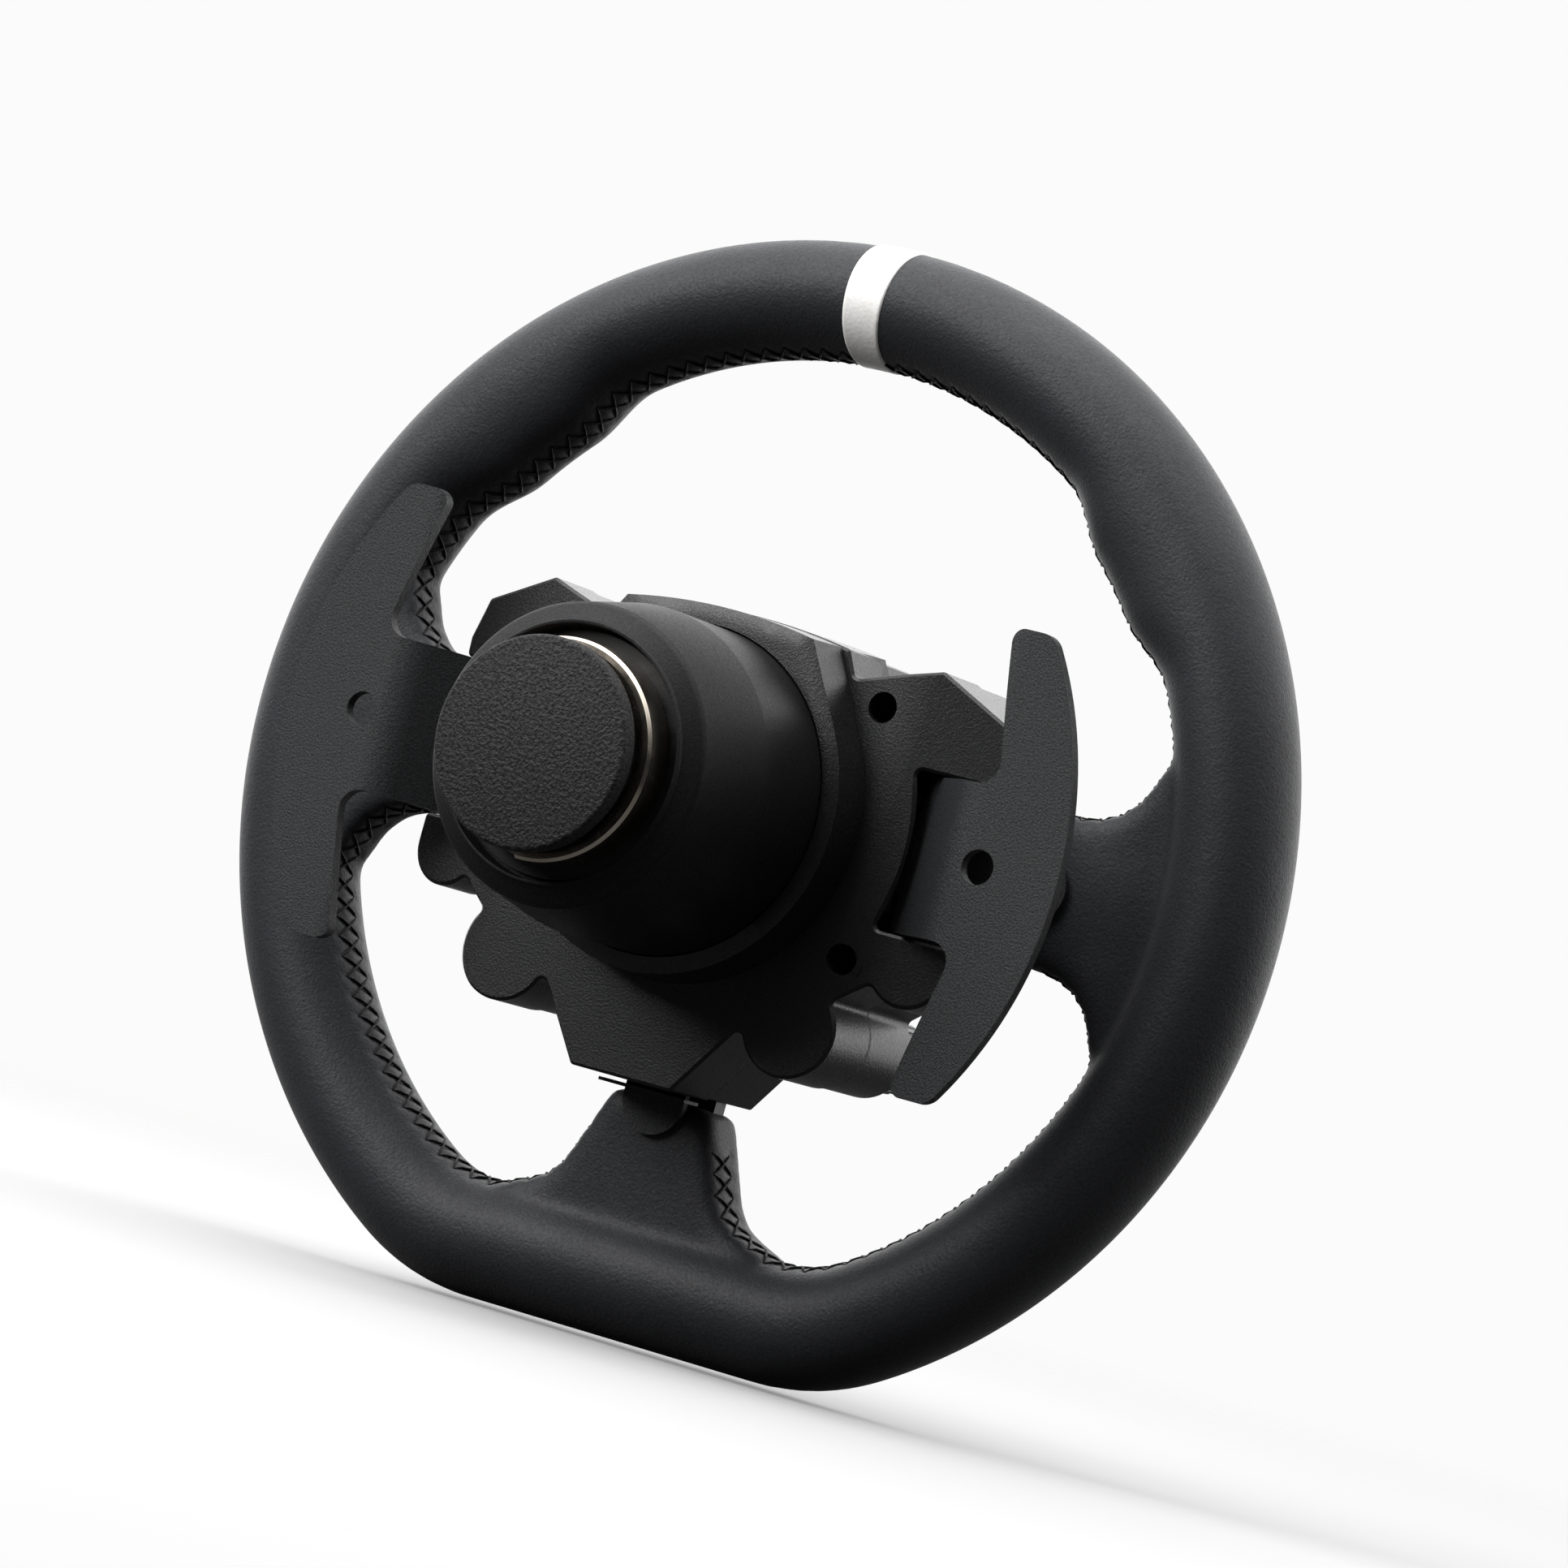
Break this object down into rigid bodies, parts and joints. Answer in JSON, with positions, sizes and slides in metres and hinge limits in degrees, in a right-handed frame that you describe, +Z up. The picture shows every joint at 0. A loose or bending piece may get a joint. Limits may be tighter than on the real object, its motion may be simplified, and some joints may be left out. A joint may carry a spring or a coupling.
{
  "type": "racing wheel with quick release",
  "caption": "D-shaped simulator steering wheel with leather rim, shift paddles, button casing and a sprung quick-release hub closed by a rubber cap.",
  "frame": {"origin": "on the wheel's axis, 2 mm in from the inner end of the quick release's bore, in the plane of the casing's rear face", "axes": "+Y along the axis away from the driver, out of the quick release's mouth; +Z up towards the rim's centre stripe; +X towards the driver's right"},
  "size_m": [0.28, 0.1375, 0.269],
  "materials": {
    "core_aluminium": "black anodised plate",
    "grip_leather": "charcoal, fine grain, matte",
    "stripe_leather": "white, fine grain",
    "casing_plastic": "black, fine moulded texture",
    "plate_black": "black powder coat",
    "face_trim": "dark grey satin trim",
    "cover_satin": "satin black, plain",
    "screw_black": "black oxide",
    "spacer_aluminium": "machined",
    "hub_nickel": "nickel plated, polished lip",
    "collar_black": "satin black anodised",
    "spring_steel": "spring steel",
    "ring_black": "black phosphate",
    "ball_steel": "hardened steel",
    "cap_rubber": "black, coarse pebbled face",
    "contact_plastic": "black insulator",
    "contact_brass": "gilt pins",
    "paddle_black": "black fine-texture powder coat",
    "pin_steel": "ground steel",
    "bracket_plastic": "black",
    "magnet_nickel": "nickel plated magnet",
    "switch_plastic": "black",
    "board_green": "green solder mask",
    "bezel_black": "gloss black",
    "button_grey": "grey",
    "button_red": "red",
    "knob_black": "black anodised, fluted",
    "stick_rubber": "soft black rubber",
    "lens_smoke": "smoked lens"
  },
  "bodies": {
    "wheel": {"rim_core": "core_aluminium", "rim_grip": "grip_leather", "rim_stripe": "stripe_leather", "rear_casing": "casing_plastic", "front_casing": "casing_plastic", "back_plate": "plate_black", "face_plate": "face_trim", "hub_cover": "cover_satin", "casing_screws": "screw_black", "frame_screws": "screw_black", "hub_screws": "screw_black", "hub_spacer": "spacer_aluminium", "qr_hub": "hub_nickel", "collar_spring": "spring_steel", "stop_ring": "ring_black", "contact_block": "contact_plastic", "contact_pins": "contact_brass", "paddle_pin_left": "pin_steel", "paddle_bracket_left": "bracket_plastic", "paddle_pin_right": "pin_steel", "paddle_bracket_right": "bracket_plastic", "keeper_magnets": "magnet_nickel", "paddle_switches": "switch_plastic", "button_switches": "switch_plastic", "encoders": "switch_plastic", "stick_housings": "switch_plastic", "main_board": "board_green", "button_bezels": "bezel_black", "light_strip": "board_green", "light_lens": "lens_smoke"},
    "collar": {"release_collar": "collar_black"},
    "ball_1": {"lock_ball_1": "ball_steel"},
    "ball_2": {"lock_ball_2": "ball_steel"},
    "ball_3": {"lock_ball_3": "ball_steel"},
    "ball_4": {"lock_ball_4": "ball_steel"},
    "ball_5": {"lock_ball_5": "ball_steel"},
    "ball_6": {"lock_ball_6": "ball_steel"},
    "cap": {"dust_cap": "cap_rubber"},
    "paddle_left": {"paddle_left": "paddle_black", "paddle_magnet_left": "magnet_nickel"},
    "paddle_right": {"paddle_right": "paddle_black", "paddle_magnet_right": "magnet_nickel"},
    "button_upper_inner_left": {"button_upper_inner_left": "button_grey"},
    "button_upper_inner_right": {"button_upper_inner_right": "button_grey"},
    "button_upper_outer_left": {"button_upper_outer_left": "button_red"},
    "button_upper_outer_right": {"button_upper_outer_right": "button_red"},
    "button_lower_outer_left": {"button_lower_outer_left": "button_grey"},
    "button_lower_outer_right": {"button_lower_outer_right": "button_grey"},
    "button_lower_inner_left": {"button_lower_inner_left": "button_grey"},
    "button_lower_inner_right": {"button_lower_inner_right": "button_grey"},
    "gimbal_left": {"stick_gimbal_left": "pin_steel"},
    "stick_left": {"thumb_stick_left": "stick_rubber"},
    "knob_left": {"knob_left": "knob_black"},
    "gimbal_right": {"stick_gimbal_right": "pin_steel"},
    "stick_right": {"thumb_stick_right": "stick_rubber"},
    "knob_right": {"knob_right": "knob_black"}
  },
  "joints": [
    {"name": "collar_slide", "type": "slide", "parent": "wheel", "child": "collar", "axis": [0, -1, 0], "range_m": [0, 0.007], "stiffness_N_per_m": 1600, "springref_m": -0.006, "deforming": ["collar_spring"]},
    {"name": "ball_slide_1", "type": "slide", "parent": "wheel", "child": "ball_1", "axis": [1, 0, 0], "range_m": [0, 0.0012]},
    {"name": "ball_slide_2", "type": "slide", "parent": "wheel", "child": "ball_2", "axis": [0.5, 0, 0.866], "range_m": [0, 0.0012]},
    {"name": "ball_slide_3", "type": "slide", "parent": "wheel", "child": "ball_3", "axis": [-0.5, 0, 0.866], "range_m": [0, 0.0012]},
    {"name": "ball_slide_4", "type": "slide", "parent": "wheel", "child": "ball_4", "axis": [-1, 0, 0], "range_m": [0, 0.0012]},
    {"name": "ball_slide_5", "type": "slide", "parent": "wheel", "child": "ball_5", "axis": [-0.5, 0, -0.866], "range_m": [0, 0.0012]},
    {"name": "ball_slide_6", "type": "slide", "parent": "wheel", "child": "ball_6", "axis": [0.5, 0, -0.866], "range_m": [0, 0.0012]},
    {"name": "dust_cap_slide", "type": "slide", "parent": "wheel", "child": "cap", "axis": [0, 1, 0], "range_m": [0, 0.06]},
    {"name": "paddle_hinge_left", "type": "hinge", "parent": "wheel", "child": "paddle_left", "pos_m": [-0.05, -0.0095, 0], "axis": [0, 0, 1], "range_deg": [0, 4], "stiffness_Nm_per_rad": 2, "springref_deg": -6.88},
    {"name": "paddle_hinge_right", "type": "hinge", "parent": "wheel", "child": "paddle_right", "pos_m": [0.05, -0.0095, 0], "axis": [0, 0, -1], "range_deg": [0, 4], "stiffness_Nm_per_rad": 2, "springref_deg": -6.88},
    {"name": "button_press_upper_inner_left", "type": "slide", "parent": "wheel", "child": "button_upper_inner_left", "axis": [0, 1, 0], "range_m": [0, 0.0012], "stiffness_N_per_m": 500, "springref_m": -0.002},
    {"name": "button_press_upper_inner_right", "type": "slide", "parent": "wheel", "child": "button_upper_inner_right", "axis": [0, 1, 0], "range_m": [0, 0.0012], "stiffness_N_per_m": 500, "springref_m": -0.002},
    {"name": "button_press_upper_outer_left", "type": "slide", "parent": "wheel", "child": "button_upper_outer_left", "axis": [0, 1, 0], "range_m": [0, 0.0012], "stiffness_N_per_m": 500, "springref_m": -0.002},
    {"name": "button_press_upper_outer_right", "type": "slide", "parent": "wheel", "child": "button_upper_outer_right", "axis": [0, 1, 0], "range_m": [0, 0.0012], "stiffness_N_per_m": 500, "springref_m": -0.002},
    {"name": "button_press_lower_outer_left", "type": "slide", "parent": "wheel", "child": "button_lower_outer_left", "axis": [0, 1, 0], "range_m": [0, 0.0012], "stiffness_N_per_m": 500, "springref_m": -0.002},
    {"name": "button_press_lower_outer_right", "type": "slide", "parent": "wheel", "child": "button_lower_outer_right", "axis": [0, 1, 0], "range_m": [0, 0.0012], "stiffness_N_per_m": 500, "springref_m": -0.002},
    {"name": "button_press_lower_inner_left", "type": "slide", "parent": "wheel", "child": "button_lower_inner_left", "axis": [0, 1, 0], "range_m": [0, 0.0012], "stiffness_N_per_m": 500, "springref_m": -0.002},
    {"name": "button_press_lower_inner_right", "type": "slide", "parent": "wheel", "child": "button_lower_inner_right", "axis": [0, 1, 0], "range_m": [0, 0.0012], "stiffness_N_per_m": 500, "springref_m": -0.002},
    {"name": "stick_pitch_left", "type": "hinge", "parent": "wheel", "child": "gimbal_left", "pos_m": [-0.06, -0.038, 0.003], "axis": [1, 0, 0], "range_deg": [-12, 12], "stiffness_Nm_per_rad": 0.06},
    {"name": "stick_yaw_left", "type": "hinge", "parent": "gimbal_left", "child": "stick_left", "pos_m": [-0.06, -0.038, 0.003], "axis": [0, 0, 1], "range_deg": [-12, 12], "stiffness_Nm_per_rad": 0.06},
    {"name": "knob_turn_left", "type": "hinge", "parent": "wheel", "child": "knob_left", "pos_m": [-0.0395, -0.05, -0.0465], "axis": [0, 1, 0], "continuous": true},
    {"name": "stick_pitch_right", "type": "hinge", "parent": "wheel", "child": "gimbal_right", "pos_m": [0.06, -0.038, 0.003], "axis": [1, 0, 0], "range_deg": [-12, 12], "stiffness_Nm_per_rad": 0.06},
    {"name": "stick_yaw_right", "type": "hinge", "parent": "gimbal_right", "child": "stick_right", "pos_m": [0.06, -0.038, 0.003], "axis": [0, 0, 1], "range_deg": [-12, 12], "stiffness_Nm_per_rad": 0.06},
    {"name": "knob_turn_right", "type": "hinge", "parent": "wheel", "child": "knob_right", "pos_m": [0.0395, -0.05, -0.0465], "axis": [0, 1, 0], "continuous": true}
  ],
  "couplings": [
    {"joint": "ball_slide_1", "follows": "collar_slide", "ratio": 0.1714},
    {"joint": "ball_slide_2", "follows": "collar_slide", "ratio": 0.1714},
    {"joint": "ball_slide_3", "follows": "collar_slide", "ratio": 0.1714},
    {"joint": "ball_slide_4", "follows": "collar_slide", "ratio": 0.1714},
    {"joint": "ball_slide_5", "follows": "collar_slide", "ratio": 0.1714},
    {"joint": "ball_slide_6", "follows": "collar_slide", "ratio": 0.1714}
  ]
}
